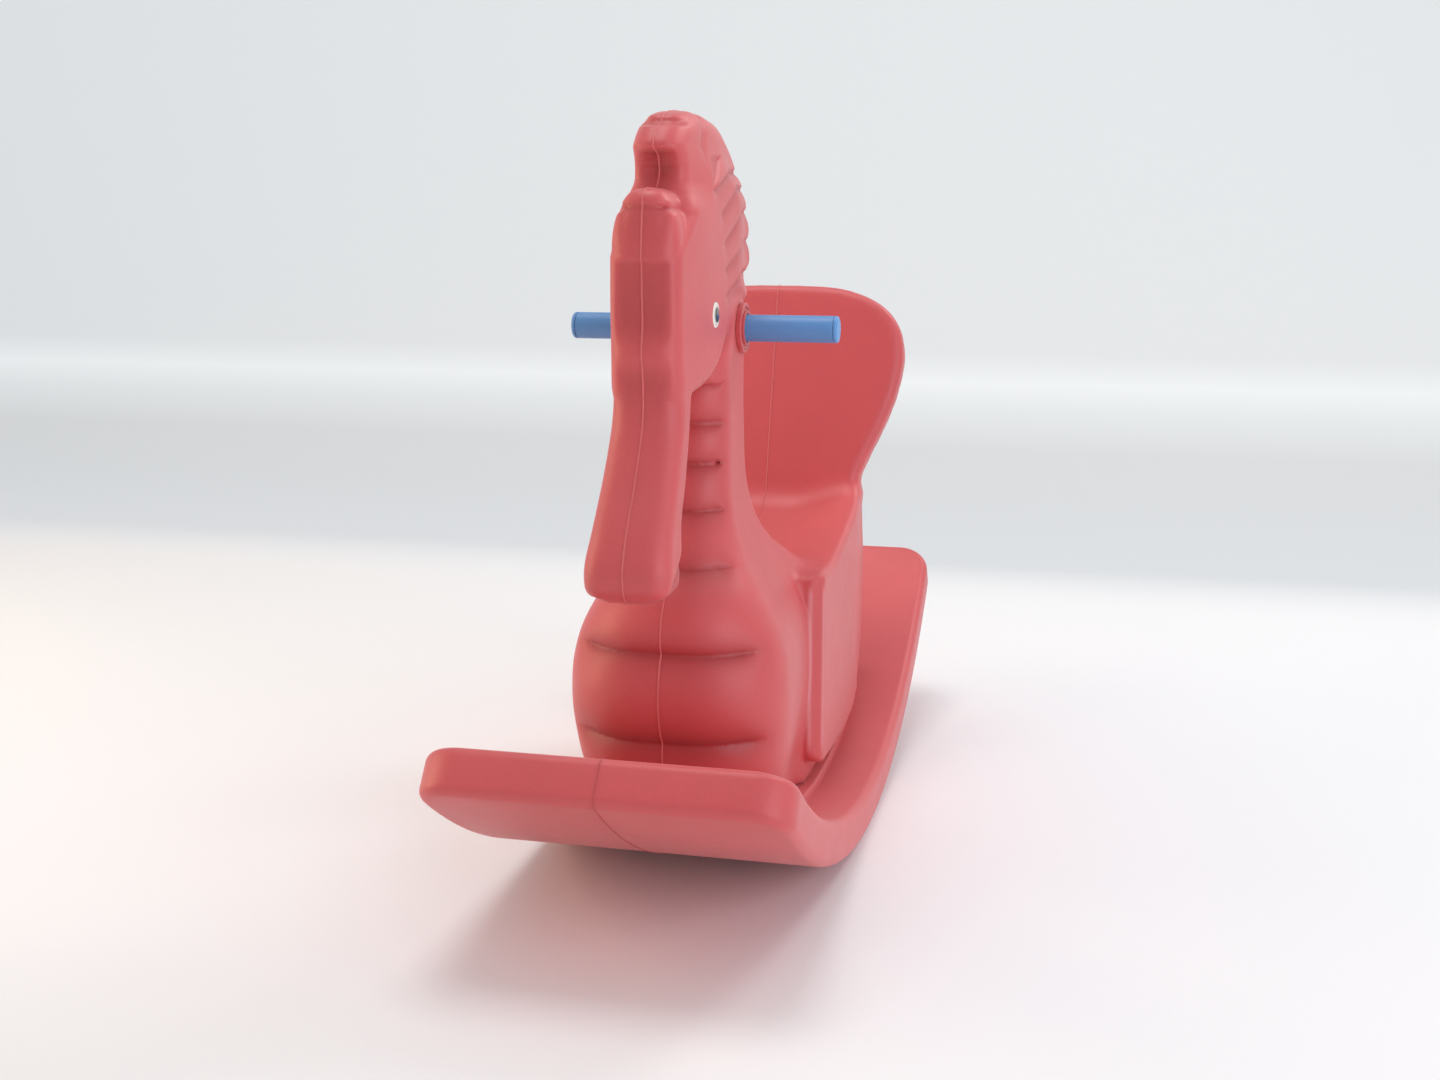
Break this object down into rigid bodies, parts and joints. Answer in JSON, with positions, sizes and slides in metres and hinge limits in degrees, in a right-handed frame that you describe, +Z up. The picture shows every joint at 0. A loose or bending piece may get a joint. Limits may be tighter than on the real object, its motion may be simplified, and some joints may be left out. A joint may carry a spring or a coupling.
{
  "type": "toddler's seahorse rocker",
  "caption": "Child's ride-on rocker: a hollow moulded seahorse with seat and backrest on a curved rocking base, with a handlebar through its neck.",
  "frame": {"origin": "floor point under the middle of the rocking arc, on the plane of symmetry", "axes": "+Z up, the animal faces -Y, +X is its left side; Y runs along the rocker"},
  "size_m": [0.3, 0.8926, 0.6745],
  "materials": {
    "red_body": "satin moulded polyethylene",
    "red_rocker": "satin moulded polyethylene",
    "red_bush": "satin moulded nylon",
    "blue_bar": "satin plastic tube",
    "white_eye": "glossy moulded",
    "black_pupil": "glossy moulded",
    "zinc": "zinc plated",
    "brass": "turned",
    "grey_plug": "matt"
  },
  "bodies": {
    "rocker": {"rocker_base": "red_rocker", "body_shell": "red_body", "handle_bush_left": "red_bush", "handle_bush_right": "red_bush", "eye_white_left": "white_eye", "eye_white_right": "white_eye", "eye_pupil_left": "black_pupil", "eye_pupil_right": "black_pupil", "handle_locating_screw": "zinc", "locating_screw_cover": "red_bush", "rocker_vent_plug": "grey_plug", "base_screw_1": "zinc", "base_washer_1": "zinc", "threaded_insert_1": "brass", "base_screw_2": "zinc", "base_washer_2": "zinc", "threaded_insert_2": "brass", "base_screw_3": "zinc", "base_washer_3": "zinc", "threaded_insert_3": "brass", "base_screw_4": "zinc", "base_washer_4": "zinc", "threaded_insert_4": "brass"},
    "handlebar": {"handlebar_tube": "blue_bar", "handlebar_cap_left": "blue_bar", "handlebar_cap_right": "blue_bar"}
  },
  "joints": [
    {"name": "handlebar_spin", "type": "hinge", "parent": "rocker", "child": "handlebar", "pos_m": [0, -0.1, 0.489], "axis": [1, 0, 0], "continuous": true}
  ]
}
